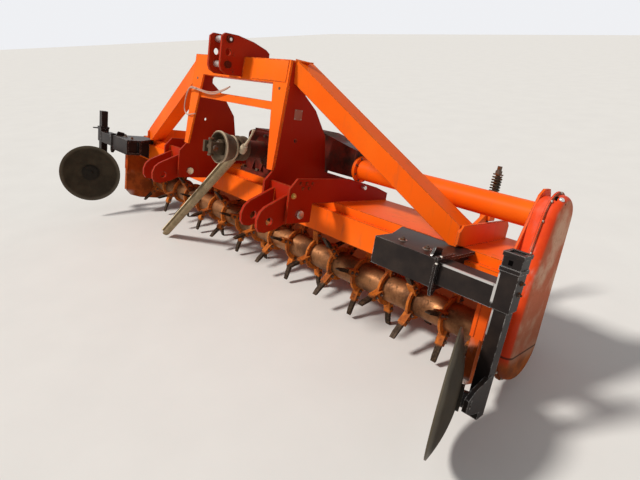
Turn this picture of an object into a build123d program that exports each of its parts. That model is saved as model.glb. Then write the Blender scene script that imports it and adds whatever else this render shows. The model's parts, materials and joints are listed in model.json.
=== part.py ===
"""Horizontal-rotor cultivator on a three-point headstock, parked leaning back on its rotor and levelling board.

Every piece is drawn in the machine's own frame: x across, y back from the beam's front face, z square to the
deck. The helper planes lay that frame into the world, leaned back by the parked angle.
"""

import os
from math import cos, radians, sin

from build123d import *

os.makedirs("parts", exist_ok=True)

# Stance of the parked machine
lean = 13.5
rotor_y = 185.0
rotor_z = -313.0
tine_reach = 220.0
stand = tine_reach + rotor_y * sin(radians(lean)) - rotor_z * cos(radians(lean))
centre_x = 125.0
centre_y = -31.4

machine = Plane(
    origin=(centre_x, centre_y, stand),
    x_dir=(1, 0, 0),
    z_dir=(0, sin(radians(lean)), cos(radians(lean))),
)


def at(x, y, z):
    """World point of a machine point."""
    return machine.from_local_coords(Vector(x, y, z))


def side(x):
    """Plane across the machine at x: sketches are drawn in y and z."""
    return Plane(origin=at(x, 0, 0), x_dir=machine.y_dir, z_dir=machine.x_dir)


def front(y):
    """Plane facing forward at y: sketches are drawn in x and z."""
    return Plane(origin=at(0, y, 0), x_dir=machine.x_dir, z_dir=-machine.y_dir)


def top(z):
    """Plane facing up at z: sketches are drawn in x and y."""
    return Plane(origin=at(0, 0, z), x_dir=machine.x_dir, z_dir=machine.z_dir)


# Beam and deck
end_right = 1470.0
end_left = -1560.0
face_drop = 122.0
box_bottom = -62.0
skirt_t = 10.0
ledge = 30.0
deck_z = 40.0
deck_back = 432.0

# Headstock
web_t = 12.0
web_in = 403.0
web_out = web_in + web_t
outer_in = 585.0
outer_out = outer_in + web_t
console_top = 155.0
console_front = -272.0
console_low = -50.0
console_lobe_back = -125.0
frame_foot_y = -230.0
frame_foot_z = 124.0
frame_top_y = -190.0
frame_top_z = 650.0
frame_t = 12.0
cross_low = 545.0
cross_high = 645.0
cross_back = -92.0
pillar_top_w = 105.0
pillar_foot_w = 40.0

# Lower and upper hitch
ear_x = 505.0
ear_t = 16.0
ear_gap = 100.0
lower_hole_r = 18.5
lower_hole_y = -345.0
lower_hole_z = -42.0
pivot_pin_r = 20.0
pivot_pin_y = -200.0
pivot_pin_z = -8.0
upper_plate_t = 14.0
upper_half = 45.0
upper_pin_r = 15.95
upper_hole_r = 16.0
upper_pin_y = -300.0
upper_hole_z = [712.0, 655.0, 598.0]
upper_pin_z = [712.0, 598.0]
pin_fit = 0.05

# Drive
tube_r = 50.0
tube_y = 170.0
tube_z = 207.0
neck_r = 46.0
neck_z = 195.0
gear_top = 308.0
cover_out = 1572.0

# Rotor
tube_rotor_r = 68.0
flange_r = 92.0
flange_t = 12.0
bearing_t = 22.0
ring_first = 1412.0
ring_pitch = 171.0
ring_count = 18
ring_step = -30.0

# Disc arms
sleeve_w = 106.0
sleeve_wall = 12.5
arm_w = 80.0
arm_y = -174.0
arm_z = -15.0
leg_w = 48.0
disc_r = 218.0
disc_t = 6.0
dish = 46.0
toe = 22.0

# Levelling board
hinge_y = 470.0
hinge_z = -78.0
hinge_r = 17.0
hinge_over = 14.0

# Beam: a closed box with a stepped top and a front skirt over the rotor
beam_outline = [
    (0, -face_drop),
    (0, 0),
    (ledge, 0),
    (ledge, deck_z),
    (deck_back, deck_z),
    (deck_back, box_bottom - 30),
    (deck_back - skirt_t, box_bottom - 30),
    (deck_back - skirt_t, box_bottom),
    (skirt_t, box_bottom),
    (skirt_t, -face_drop),
]
with BuildPart() as deck_beam:
    with BuildSketch(side(end_left)):
        Polygon(*beam_outline, align=None)
    extrude(amount=end_right - end_left)
deck_beam.part.label = "deck_beam"
export_step(deck_beam.part, "parts/deck_beam.step")

# Side plates that close the beam and carry the rotor
plate_t = 10.0
plate_front = -98.0
plate_high = -84.0
plate_low = [
    (plate_front, plate_high),
    (plate_front, -395),
    (-60, -436),
    (20, -458),
    (185, -470),
    (330, -438),
    (425, -330),
    (452, -200),
    (500, -110),
    (500, -46),
    (452, -20),
]
plate_outline_left = plate_low + [
    (432, 40),
    (30, 40),
    (30, 0),
    (0, 0),
    (0, plate_high),
]
plate_outline_right = plate_low + [
    (400, 60),
    (320, 150),
    (275, 255),
    (235, gear_top),
    (185, gear_top),
    (150, 285),
    (60, 85),
    (20, 0),
    (0, 0),
    (0, plate_high),
]
lip_w = 52.0
lip_in = 10.0
lip_t = 9.0
lip_high = 144.0
strip_w = 34.0
strip_high = 166.0
plates = {
    "right": (1, end_right, plate_outline_right),
    "left": (-1, end_left, plate_outline_left),
}
for hand, (sign, end, outline) in plates.items():
    with BuildPart() as side_plate:
        with BuildSketch(side(min(end, end + sign * plate_t))):
            Polygon(*outline, align=None)
            with Locations((hinge_y, hinge_z)):
                Circle(hinge_r + pin_fit, mode=Mode.SUBTRACT)
        extrude(amount=plate_t)
        with BuildSketch(front(plate_front + lip_t)):
            with Locations((end + sign * (lip_w / 2 - lip_in), plate_high - lip_high / 2)):
                Rectangle(lip_w, lip_high)
            with Locations((end + sign * (strip_w / 2 - 2), plate_high - lip_high - strip_high / 2)):
                Rectangle(strip_w, strip_high)
        extrude(amount=lip_t)
    side_plate.part.label = "side_plate_" + hand
    export_step(side_plate.part, "parts/side_plate_" + hand + ".step")


def frame_front(z):
    """Depth of the headstock's leaning front plane at height z."""
    slope = (frame_top_y - frame_foot_y) / (frame_top_z - frame_foot_z)
    return frame_foot_y + (z - frame_foot_z) * slope


# Headstock web plates: the tall trapezoid and the inner console plate in one
web_outline = [
    (console_front, console_low),
    (console_front, 108),
    (frame_foot_y, console_top),
    (frame_front(console_top), console_top),
    (frame_top_y, frame_top_z),
    (cross_back, frame_top_z),
    (cross_back, 510),
    (-12, 450),
    (76, 335),
    (112, console_top),
    (150, 148),
    (330, 112),
    (deck_back, 80),
    (deck_back, deck_z),
    (ledge, deck_z),
    (ledge, 0),
    (0, 0),
    (0, console_low),
]
outer_outline = [
    (console_front, console_low),
    (console_front, 108),
    (frame_foot_y, console_top),
    (112, console_top),
    (150, 148),
    (330, 112),
    (deck_back, 80),
    (deck_back, deck_z),
    (console_lobe_back, deck_z),
    (console_lobe_back, console_low),
]
web_starts = {"right": web_in, "left": -web_out}
outer_starts = {"right": outer_in, "left": -outer_out}
for hand, start in web_starts.items():
    with BuildPart() as web:
        with BuildSketch(side(start)):
            Polygon(*web_outline, align=None)
            with Locations((pivot_pin_y, pivot_pin_z)):
                Circle(pivot_pin_r + pin_fit, mode=Mode.SUBTRACT)
            with Locations((-118, 300)):
                Circle(9, mode=Mode.SUBTRACT)
        extrude(amount=web_t)
    web.part.label = "headstock_web_" + hand
    export_step(web.part, "parts/headstock_web_" + hand + ".step")
for hand, start in outer_starts.items():
    with BuildPart() as console:
        with BuildSketch(side(start)):
            Polygon(*outer_outline, align=None)
            with Locations((pivot_pin_y, pivot_pin_z)):
                Circle(pivot_pin_r + pin_fit, mode=Mode.SUBTRACT)
        extrude(amount=web_t)
    console.part.label = "console_plate_" + hand
    export_step(console.part, "parts/console_plate_" + hand + ".step")

# Leaning front frame: two tapering pillar flanges and the wide plate that joins them at the top
face_plane = Plane(
    origin=at(0, frame_foot_y, frame_foot_z),
    x_dir=machine.x_dir,
    z_dir=Vector(0, 0, 0) - (at(0, frame_top_y, frame_top_z) - at(0, frame_foot_y, frame_foot_z)).cross(
        machine.x_dir
    ),
)
slant = (at(0, frame_top_y, frame_top_z) - at(0, frame_foot_y, frame_foot_z)).length
cross_v = slant - (frame_top_z - cross_low)
foot_v = console_top - frame_foot_z + 1.0
with BuildPart() as front_frame:
    with BuildSketch(face_plane):
        Polygon(
            (-web_out, foot_v),
            (-web_out, slant),
            (web_out, slant),
            (web_out, foot_v),
            (web_out - pillar_foot_w, foot_v),
            (web_out - pillar_top_w, cross_v),
            (-web_out + pillar_top_w, cross_v),
            (-web_out + pillar_foot_w, foot_v),
            align=None,
        )
    extrude(amount=frame_t)
front_frame.part.label = "front_frame"
export_step(front_frame.part, "parts/front_frame.step")

# Crossbeam between the webs, behind the front plate
with BuildPart() as crossbeam:
    with BuildSketch(side(-web_in)):
        Polygon(
            (frame_front(cross_low), cross_low),
            (frame_front(cross_high), cross_high),
            (cross_back, cross_high),
            (cross_back, cross_low),
            align=None,
        )
    extrude(amount=2 * web_in)
crossbeam.part.label = "crossbeam"
export_step(crossbeam.part, "parts/crossbeam.step")

# Channel that ties the pillars across the middle of the window
mid_low = 424.0
mid_high = 462.0
with BuildPart() as mid_brace:
    with BuildSketch(side(-web_in)):
        Polygon(
            (frame_front(mid_low), mid_low),
            (frame_front(mid_high), mid_high),
            (-140, mid_high),
            (-140, mid_high - 8),
            (frame_front(mid_high) + 8, mid_high - 8),
            (frame_front(mid_low) + 8, mid_low),
            align=None,
        )
    extrude(amount=2 * web_in)
mid_brace.part.label = "mid_brace"
export_step(mid_brace.part, "parts/mid_brace.step")

# Top link bracket: two plates over the crossbeam, standing forward of the front plate
face_y_low = frame_front(556) - frame_t * 1.003
face_y_high = frame_front(frame_top_z) - frame_t * 1.003
upper_outline = [
    (-340, 588),
    (-340, 722),
    (-322, 737),
    (-252, 739),
    (-158, 726),
    (-78, 704),
    (-56, 690),
    (-56, cross_high),
    (frame_top_y, cross_high),
    (frame_top_y, frame_top_z + 1.2),
    (face_y_high, frame_top_z + 1.2),
    (face_y_low, 556),
    (-300, 552),
    (-330, 566),
]
with BuildPart() as top_link_plates:
    with BuildSketch(side(-upper_half - upper_plate_t), side(upper_half)):
        Polygon(*upper_outline, align=None)
        for z in upper_hole_z:
            with Locations((upper_pin_y, z)):
                Circle(upper_hole_r, mode=Mode.SUBTRACT)
    extrude(amount=upper_plate_t)
top_link_plates.part.label = "top_link_plates"
export_step(top_link_plates.part, "parts/top_link_plates.step")

pin_over = 14.0
with BuildPart() as top_link_pins:
    with BuildSketch(side(-upper_half - upper_plate_t - pin_over)):
        for z in upper_pin_z:
            with Locations((upper_pin_y, z)):
                Circle(upper_pin_r)
    extrude(amount=2 * (upper_half + upper_plate_t + pin_over))
top_link_pins.part.label = "top_link_pins"
export_step(top_link_pins.part, "parts/top_link_pins.step")

# Diagonal braces from the crossbeam ends down to the deck near its ends
foot_x = {"right": 1284.0, "left": 1374.0}
foot_past = 33.0
foot_t = 12.0
brace_deep = 100.0
brace_high = 88.0
for hand, sign in {"right": 1, "left": -1}.items():
    high = at(sign * 455, -117, 582)
    low = at(sign * (foot_x[hand] + foot_past), 47, 53)
    run = low - high
    with BuildPart() as brace:
        with BuildSketch(Plane(origin=high, x_dir=machine.y_dir, z_dir=run)):
            Rectangle(brace_deep, brace_high)
        extrude(amount=run.length + 160, both=True)
        split(bisect_by=side(sign * web_out), keep=Keep.TOP if sign > 0 else Keep.BOTTOM)
        split(bisect_by=side(sign * foot_x[hand]), keep=Keep.BOTTOM if sign > 0 else Keep.TOP)
        split(bisect_by=top(deck_z), keep=Keep.TOP)
    brace.part.label = "brace_" + hand
    export_step(brace.part, "parts/brace_" + hand + ".step")
    with BuildPart() as foot:
        with BuildSketch(side(foot_x[hand] if sign > 0 else -foot_x[hand] - foot_t)):
            Polygon(
                (ledge, deck_z),
                (-22, 52),
                (-22, 100),
                (2, 126),
                (380, 124),
                (405, 100),
                (405, deck_z),
                align=None,
            )
        extrude(amount=foot_t)
    foot.part.label = "brace_foot_" + hand
    export_step(foot.part, "parts/brace_foot_" + hand + ".step")

# Lower link ears with the plate between the console plates that holds them
ear_outline = [
    (-239, -50),
    (-239, 84),
    (-252, 80),
    (-372, 26),
    (-398, 4),
    (-412, -30),
    (-410, -66),
    (-396, -86),
    (-366, -92),
    (-300, -78),
]
closer_t = 14.0
closer_y = -226.0
for hand, sign in {"right": 1, "left": -1}.items():
    inner = min(sign * web_out, sign * outer_in)
    with BuildPart() as ears:
        with BuildSketch(front(closer_y)):
            with Locations((sign * (web_out + outer_in) / 2, 34)):
                Rectangle(outer_in - web_out, 160)
        extrude(amount=closer_t)
        for start in (sign * ear_x - ear_gap / 2 - ear_t, sign * ear_x + ear_gap / 2):
            with BuildSketch(side(start)):
                Polygon(*ear_outline, align=None)
                with Locations((lower_hole_y, lower_hole_z)):
                    Circle(lower_hole_r, mode=Mode.SUBTRACT)
            extrude(amount=ear_t)
    ears.part.label = "hitch_ears_" + hand
    export_step(ears.part, "parts/hitch_ears_" + hand + ".step")

cap_over = 12.0
cap_len = outer_out - web_in + 2 * cap_over
with BuildPart() as pivot_pins:
    with BuildSketch(side(web_in - cap_over), side(-outer_out - cap_over)):
        with Locations((pivot_pin_y, pivot_pin_z)):
            Circle(pivot_pin_r)
    extrude(amount=cap_len)
pivot_pins.part.label = "pivot_pins"
export_step(pivot_pins.part, "parts/pivot_pins.step")

# Central gearbox on the deck
with BuildPart() as gearbox:
    with BuildSketch(top(deck_z)):
        with Locations((0, 205)):
            Rectangle(400, 300)
    extrude(amount=250)
    top_edges = gearbox.edges().filter_by(lambda e: e.length > 200).sort_by(Axis(at(0, 0, 0), machine.z_dir))[-4:]
    fillet(top_edges, 28)
    with BuildSketch(top(deck_z)):
        with Locations((0, 205)):
            Rectangle(440, 340)
    extrude(amount=22)
    with BuildSketch(front(55)):
        with Locations((0, neck_z)):
            Circle(84)
    extrude(amount=34)
gearbox.part.label = "gearbox"
export_step(gearbox.part, "parts/gearbox.step")

# Side housing from the gearbox to the drive tube, behind the right web
house_front = 120.0
house_back = 262.0
house_end = 599.0
with BuildPart() as side_housing:
    with BuildSketch(front(house_back)):
        Polygon((200, 164), (200, 352), (330, 352), (house_end, 296), (house_end, 164), align=None)
    extrude(amount=house_back - house_front)
side_housing.part.label = "side_housing"
export_step(side_housing.part, "parts/side_housing.step")

# Cross drive tube with its end flange
with BuildPart() as drive_tube:
    with BuildSketch(side(house_end)):
        with Locations((tube_y, tube_z)):
            Circle(64)
    extrude(amount=18)
    with BuildSketch(side(house_end + 18)):
        with Locations((tube_y, tube_z)):
            Circle(tube_r)
    extrude(amount=end_right - house_end - 18)
drive_tube.part.label = "drive_tube"
export_step(drive_tube.part, "parts/drive_tube.step")

# Right gearcase: a narrow inner case and the pressed cover outside it
case_in = end_right + plate_t
case_mid = 1524.0
case_flange_t = 8.0
with BuildPart() as gearcase:
    with BuildSketch(side(case_in)):
        with Locations((tube_y + 18, tube_z)):
            Circle(78)
        with Locations((176, -30)):
            Circle(112)
        with Locations((rotor_y, rotor_z)):
            Circle(122)
        make_hull()
    extrude(amount=case_mid - case_in)
    with BuildSketch(side(case_mid)):
        with Locations((tube_y + 18, tube_z)):
            Circle(104)
        with Locations((172, -30)):
            Circle(134)
        with Locations((rotor_y, rotor_z)):
            Circle(150)
        make_hull()
    extrude(amount=case_flange_t)
gearcase.part.label = "gearcase"
export_step(gearcase.part, "parts/gearcase.step")

cover_in = case_mid + case_flange_t
with BuildPart() as gearcase_cover:
    with BuildSketch(side(cover_in)):
        with Locations((tube_y + 18, tube_z)):
            Circle(94)
        with Locations((172, -30)):
            Circle(124)
        with Locations((rotor_y, rotor_z)):
            Circle(138)
        make_hull()
    extrude(amount=cover_out - cover_in)
    outer_face = gearcase_cover.faces().sort_by(Axis(at(0, 0, 0), machine.x_dir))[-1]
    fillet(outer_face.edges(), 30)
gearcase_cover.part.label = "gearcase_cover"
export_step(gearcase_cover.part, "parts/gearcase_cover.step")

# Input neck, bell guard and drive yoke along the fore-and-aft input axis
input_axis = Axis(origin=at(0, 0, neck_z), direction=machine.y_dir)
neck_end = -215.0
with BuildPart() as input_neck:
    with BuildSketch(front(21)):
        with Locations((0, neck_z)):
            Circle(neck_r)
    extrude(amount=21 - neck_end)
input_neck.part.label = "input_neck"
export_step(input_neck.part, "parts/input_neck.step")

bell_in = neck_r + pin_fit
with BuildPart() as bell_guard:
    with BuildSketch(side(0)):
        with BuildLine():
            Polyline(
                (-172, neck_z + bell_in),
                (-172, neck_z + bell_in + 6),
                (-192, neck_z + 60),
                (-232, neck_z + 74),
                (-276, neck_z + 80),
                (-276, neck_z + 75),
                (-230, neck_z + 69),
                (-196, neck_z + 55),
                (-196, neck_z + bell_in),
                close=True,
            )
        make_face()
    revolve(axis=input_axis, revolution_arc=360)
bell_guard.part.label = "bell_guard"
export_step(bell_guard.part, "parts/bell_guard.step")

with BuildPart() as drive_yoke:
    with BuildSketch(front(neck_end)):
        with Locations((0, neck_z)):
            Circle(40)
    extrude(amount=52)
    with BuildSketch(front(neck_end - 52)):
        with Locations((-31, neck_z), (31, neck_z)):
            Rectangle(16, 56)
    extrude(amount=72)
    with BuildSketch(side(-46)):
        with Locations((neck_end - 100, neck_z)):
            Circle(14)
    extrude(amount=92)
    with BuildSketch(top(neck_z - 40)):
        with Locations((0, neck_end - 100)):
            Circle(14)
    extrude(amount=80)
drive_yoke.part.label = "drive_yoke"
export_step(drive_yoke.part, "parts/drive_yoke.step")

# Swivel collar on the neck and the long guard tube that leans from it to the ground
collar_back = -112.0
collar_front = -166.0
collar_in = neck_r + pin_fit
rest_r = 30.0
groove_w = 20.0
groove_deep = 12.0
rest_high = at(0, -139, neck_z)
rest_low = at(-925, -62, -558)
rest_run = rest_low - rest_high
rest_dir = rest_run.normalized()
rest_start = 74.0
with BuildPart() as neck_collar:
    with BuildSketch(front(collar_back)):
        with Locations((0, neck_z)):
            Circle(64)
    extrude(amount=collar_back - collar_front)
    with BuildSketch(Plane(origin=rest_high, x_dir=machine.y_dir, z_dir=rest_run)):
        Circle(26)
    extrude(amount=rest_start)
    with BuildSketch(front(collar_back + 8)):
        with Locations((0, neck_z)):
            Circle(collar_in)
    extrude(amount=collar_back - collar_front + 16, mode=Mode.SUBTRACT)
neck_collar.part.label = "neck_collar"
export_step(neck_collar.part, "parts/neck_collar.step")

tube_top = Plane(origin=rest_high + rest_dir * rest_start, x_dir=rest_run.cross(machine.y_dir), z_dir=rest_run)
with BuildPart() as guard_tube:
    with BuildSketch(tube_top):
        Circle(rest_r)
        with Locations((0, rest_r)):
            Rectangle(groove_w, 2 * groove_deep, mode=Mode.SUBTRACT)
    extrude(amount=rest_run.length - rest_start)
guard_tube.part.label = "guard_tube"
export_step(guard_tube.part, "parts/guard_tube.step")

# Rotor in two halves: tube, flanges and four tines a ring, the rings stepped round in a spiral
stub_r = 30.0
tube_gap = 8.0
stub_gap_end = 4.0
down = -(90 - lean)
holder_w = 36.0
holder_top = 140.0
holder_outline = [(60, -17), (holder_top, -14), (holder_top, 13), (60, 17)]
tip_w = 26.0
tip_outline = [
    (holder_top - 10, -9),
    (tine_reach - 28, -7),
    (tine_reach, 0),
    (tine_reach - 8, 6),
    (holder_top - 10, 8),
]
ring_half = ring_count // 2
rotor_mid = ring_first - (ring_half - 0.5) * ring_pitch
rotor_tubes = {
    "right": (rotor_mid, end_right - bearing_t - tube_gap, end_right - stub_gap_end, range(ring_half)),
    "left": (end_left + bearing_t + tube_gap, rotor_mid, end_left + stub_gap_end, range(ring_half, ring_count)),
}


def rotor_plane(x):
    """Plane across the rotor axis at x."""
    return Plane(origin=at(x, rotor_y, rotor_z), x_dir=machine.y_dir, z_dir=machine.x_dir)


for hand, (low, high, stub_end, rings) in rotor_tubes.items():
    with BuildPart() as rotor:
        with BuildSketch(rotor_plane(low)):
            Circle(tube_rotor_r)
        extrude(amount=high - low)
        with BuildSketch(rotor_plane(min(low, stub_end) if hand == "left" else high)):
            Circle(stub_r)
        extrude(amount=abs(stub_end - (low if hand == "left" else high)))
        for i in rings:
            x = ring_first - i * ring_pitch
            turn = down + ring_step * i
            with BuildSketch(rotor_plane(x - flange_t / 2)):
                Circle(flange_r)
            extrude(amount=flange_t)
            with BuildSketch(rotor_plane(x - holder_w / 2)):
                with PolarLocations(0, 4, start_angle=turn):
                    Polygon(*holder_outline, align=None)
            extrude(amount=holder_w)
            with BuildSketch(rotor_plane(x - tip_w / 2)):
                with PolarLocations(0, 4, start_angle=turn):
                    Polygon(*tip_outline, align=None)
            extrude(amount=tip_w)
    rotor.part.label = "rotor_" + hand
    export_step(rotor.part, "parts/rotor_" + hand + ".step")

# Rotor bearings on the inside of the side plates
with BuildPart() as rotor_bearings:
    with BuildSketch(side(end_right - bearing_t), side(end_left)):
        with Locations((rotor_y, rotor_z)):
            Circle(78)
            Circle(stub_r + pin_fit, mode=Mode.SUBTRACT)
    extrude(amount=bearing_t)
rotor_bearings.part.label = "rotor_bearings"
export_step(rotor_bearings.part, "parts/rotor_bearings.step")

# Disc arm sleeves, held forward of the beam by two brackets and a cover plate that reach its stepped top
sleeve_spans = {"right": (1065.0, 1347.0), "left": (-1546.0, -1264.0)}
sleeve_back = arm_y + sleeve_w / 2
sleeve_high = arm_z + sleeve_w / 2
bracket_starts = {"right": (1083.0, 1283.0), "left": (-1528.0, -1440.0)}
saddle_t = 12.0
saddle_rears = {"right": (1005.0, 1347.0), "left": (-1556.0, -1394.0)}
bracket_t = 46.0
for hand, (start, end) in sleeve_spans.items():
    with BuildPart() as sleeve:
        with BuildSketch(side(start)):
            with Locations((arm_y, arm_z)):
                Rectangle(sleeve_w, sleeve_w)
                Rectangle(sleeve_w - 2 * sleeve_wall, sleeve_w - 2 * sleeve_wall, mode=Mode.SUBTRACT)
        extrude(amount=end - start)
        with BuildSketch(*[side(x) for x in bracket_starts[hand]]):
            Polygon(
                (sleeve_back - 1, arm_z - 46),
                (sleeve_back - 1, sleeve_high),
                (ledge, sleeve_high),
                (ledge, 0),
                (0, 0),
                (0, -112),
                align=None,
            )
        extrude(amount=bracket_t)
        with BuildSketch(top(sleeve_high)):
            Polygon(
                (start, sleeve_back - 1),
                (saddle_rears[hand][0], ledge),
                (saddle_rears[hand][1], ledge),
                (end, sleeve_back - 1),
                align=None,
            )
        extrude(amount=-saddle_t)
    sleeve.part.label = "sleeve_" + hand
    export_step(sleeve.part, "parts/sleeve_" + hand + ".step")

# Arms that slide in the sleeves, each with its upright clamp box at the outer end
box_x = {"right": 1581.0, "left": -1831.0}
box_y = -185.0
box_w = 62.0
band_past = 3.0
arm_spans = {
    "right": (1075.0, box_x["right"] - box_w / 2),
    "left": (box_x["left"] + box_w / 2, -1290.0),
}
box_tops = {"right": 138.0, "left": 62.0}
box_low = -53.0
band_t = 14.0
band_lows = {"right": (75.0, 124.0), "left": (48.0,)}
leg_gap = leg_w + 1.0
for hand, (start, end) in arm_spans.items():
    with BuildPart() as arm:
        with BuildSketch(side(start)):
            with Locations((arm_y, arm_z)):
                Rectangle(arm_w, arm_w)
        extrude(amount=end - start)
        with BuildSketch(top(box_low)):
            with Locations((box_x[hand], box_y)):
                Rectangle(box_w, box_w)
                Rectangle(leg_gap, leg_gap, mode=Mode.SUBTRACT)
        extrude(amount=box_tops[hand] - box_low)
        for low in band_lows[hand]:
            with BuildSketch(top(low)):
                with Locations((box_x[hand], box_y)):
                    Rectangle(box_w + 2 * band_past, box_w + 2 * band_past)
                    Rectangle(leg_gap, leg_gap, mode=Mode.SUBTRACT)
            extrude(amount=band_t)
    arm.part.label = "arm_" + hand
    export_step(arm.part, "parts/arm_" + hand + ".step")

# Upright legs with the forward carrier and the stub axle of each disc
leg_tops = {"right": 132.0, "left": 183.0}
leg_past = 96.0
disc_x = {"right": 1515.0, "left": -1741.0}
disc_y = -312.0
disc_zs = {"right": -350.0, "left": -304.0}
hub_r = 44.0
hub_t = 14.0
stub_gap = 0.3
carrier_in = 11.0
carrier_t = 16.0
stub_seat = 8.0
dish_ball = (disc_r**2 + dish**2) / (2 * dish)
dish_mid = (dish_ball**2 - (disc_r / 2) ** 2) ** 0.5 - (dish_ball - dish)
for hand, sign in {"right": 1, "left": -1}.items():
    disc_z = disc_zs[hand]
    rim_in = sign * (box_x[hand] - disc_x[hand])
    spin = machine.x_dir * (sign * cos(radians(toe))) + machine.y_dir * sin(radians(toe))
    rim_centre = at(disc_x[hand], disc_y, disc_z)
    carrier_x = box_x[hand] + sign * carrier_in
    stub_y = disc_y + (rim_in + carrier_in + carrier_t / 2) * sin(radians(toe)) / cos(radians(toe))
    stub_len = (rim_in + carrier_in + stub_seat) / cos(radians(toe)) - dish - hub_t - stub_gap
    with BuildPart() as leg:
        with BuildSketch(top(leg_tops[hand])):
            with Locations((box_x[hand], box_y)):
                Rectangle(leg_w, leg_w)
        extrude(amount=disc_z - leg_past - leg_tops[hand])
        with BuildSketch(side(min(carrier_x, carrier_x + sign * carrier_t))):
            Polygon(
                (box_y, disc_z - 70),
                (box_y, disc_z + 70),
                (stub_y - 10, disc_z + 44),
                (stub_y - 44, disc_z + 22),
                (stub_y - 44, disc_z - 22),
                (stub_y - 10, disc_z - 44),
                align=None,
            )
        extrude(amount=carrier_t)
        with BuildSketch(Plane(origin=rim_centre + spin * (dish + hub_t + stub_gap), z_dir=spin)):
            Circle(28)
        extrude(amount=stub_len)
    leg.part.label = "leg_" + hand
    export_step(leg.part, "parts/leg_" + hand + ".step")
    profile = Plane(origin=rim_centre, x_dir=machine.z_dir, z_dir=machine.z_dir.cross(spin))
    with BuildPart() as disc:
        with BuildSketch(profile):
            with BuildLine():
                ThreePointArc((disc_r, 0), (disc_r / 2, dish_mid), (0, dish))
                Line((0, dish), (0, dish + disc_t))
                ThreePointArc((0, dish + disc_t), (disc_r / 2, dish_mid + disc_t), (disc_r, disc_t))
                Line((disc_r, disc_t), (disc_r, 0))
            make_face()
        revolve(axis=Axis(origin=rim_centre, direction=spin), revolution_arc=360)
        with BuildSketch(Plane(origin=rim_centre + spin * (dish + 1), z_dir=spin)):
            Circle(hub_r)
        extrude(amount=hub_t - 1)
        with BuildSketch(Plane(origin=rim_centre + spin * (dish + 1), z_dir=-spin)):
            Circle(55)
        extrude(amount=14)
    disc.part.label = "disc_" + hand
    export_step(disc.part, "parts/disc_" + hand + ".step")

# Levelling board hinged behind the deck, with slotted lugs for its two rods
board_gap = 40.0
board_swing = radians(20)
board_len = (stand - hinge_y * sin(radians(lean)) + hinge_z * cos(radians(lean))) / (
    cos(radians(lean)) * cos(board_swing) + sin(radians(lean)) * sin(board_swing)
)
board_low_y = hinge_y + board_len * sin(board_swing)
board_low_z = hinge_z - board_len * cos(board_swing)
rod_inset = 355.0
rods_x = [end_left + rod_inset, end_right - rod_inset]
rod_y = 575.0
rod_r = 11.0
lug_z = -100.0
lug_t = 12.0
with BuildPart() as levelling_board:
    with BuildSketch(side(end_left + board_gap)):
        with Locations((hinge_y, hinge_z)):
            Circle(30)
        Polygon(
            (hinge_y + 6, hinge_z),
            (hinge_y + 34, hinge_z - 16),
            (hinge_y + 92, -300),
            (board_low_y + 4, board_low_z + 44),
            (board_low_y, board_low_z),
            (board_low_y - 12, board_low_z + 44),
            (hinge_y + 78, -300),
            (hinge_y - 6, hinge_z - 22),
            align=None,
        )
        with Locations((hinge_y, hinge_z)):
            Circle(hinge_r + pin_fit, mode=Mode.SUBTRACT)
    extrude(amount=end_right - end_left - 2 * board_gap)
    for x in rods_x:
        with BuildSketch(side(x - 32)):
            Polygon(
                (hinge_y + 26, lug_z),
                (rod_y + 40, lug_z),
                (rod_y + 40, lug_z - lug_t),
                (hinge_y + 60, lug_z - lug_t),
                (hinge_y + 56, lug_z - 60),
                (hinge_y + 44, lug_z - 60),
                align=None,
            )
        extrude(amount=64)
        with BuildSketch(top(lug_z)):
            with Locations((x, rod_y + 6)):
                SlotOverall(56, 2 * rod_r + 12, rotation=90)
        extrude(amount=-lug_t, mode=Mode.SUBTRACT)
levelling_board.part.label = "levelling_board"
export_step(levelling_board.part, "parts/levelling_board.step")

with BuildPart() as hinge_rod:
    with BuildSketch(side(end_left - plate_t - hinge_over)):
        with Locations((hinge_y, hinge_z)):
            Circle(hinge_r)
    extrude(amount=end_right - end_left + 2 * (plate_t + hinge_over))
hinge_rod.part.label = "hinge_rod"
export_step(hinge_rod.part, "parts/hinge_rod.step")

# Rod brackets on the back of the deck, each with a guide block
guide_top = 100.0
guide_low = 66.0
bracket_w = 20.0
with BuildPart() as rod_brackets:
    for x in rods_x:
        with BuildSketch(side(x - bracket_w / 2)):
            Polygon(
                (deck_back, -56),
                (deck_back, 36),
                (rod_y - 24, guide_top),
                (rod_y - 20, guide_low),
                (deck_back + 60, -20),
                align=None,
            )
        extrude(amount=bracket_w)
        with BuildSketch(top(guide_low)):
            with Locations((x, rod_y)):
                Rectangle(54, 54)
        extrude(amount=guide_top - guide_low)
        with BuildSketch(top(guide_low)):
            with Locations((x, rod_y)):
                Circle(rod_r + pin_fit)
        extrude(amount=guide_top - guide_low, mode=Mode.SUBTRACT)
rod_brackets.part.label = "rod_brackets"
export_step(rod_brackets.part, "parts/rod_brackets.step")

# Rods with a stop nut below the lug and a spring washer and nut at the top
rod_low = -184.0
rod_high = 330.0
washer_z = 288.0
with BuildPart() as spring_rods:
    with BuildSketch(top(rod_low)):
        with Locations(*[(x, rod_y) for x in rods_x]):
            Circle(rod_r)
    extrude(amount=rod_high - rod_low)
    with BuildSketch(top(rod_low + 6)):
        with Locations(*[(x, rod_y) for x in rods_x]):
            Circle(24)
    extrude(amount=18)
    with BuildSketch(top(guide_top)):
        with Locations(*[(x, rod_y) for x in rods_x]):
            Circle(24)
    extrude(amount=5)
    with BuildSketch(top(washer_z)):
        with Locations(*[(x, rod_y) for x in rods_x]):
            Circle(24)
    extrude(amount=5)
    with BuildSketch(top(washer_z + 5)):
        with Locations(*[(x, rod_y) for x in rods_x]):
            RegularPolygon(17, 6)
    extrude(amount=16)
spring_rods.part.label = "spring_rods"
export_step(spring_rods.part, "parts/spring_rods.step")
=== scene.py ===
"""Looks of the rotary cultivator: worn paint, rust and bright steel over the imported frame, with its trim."""

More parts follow.
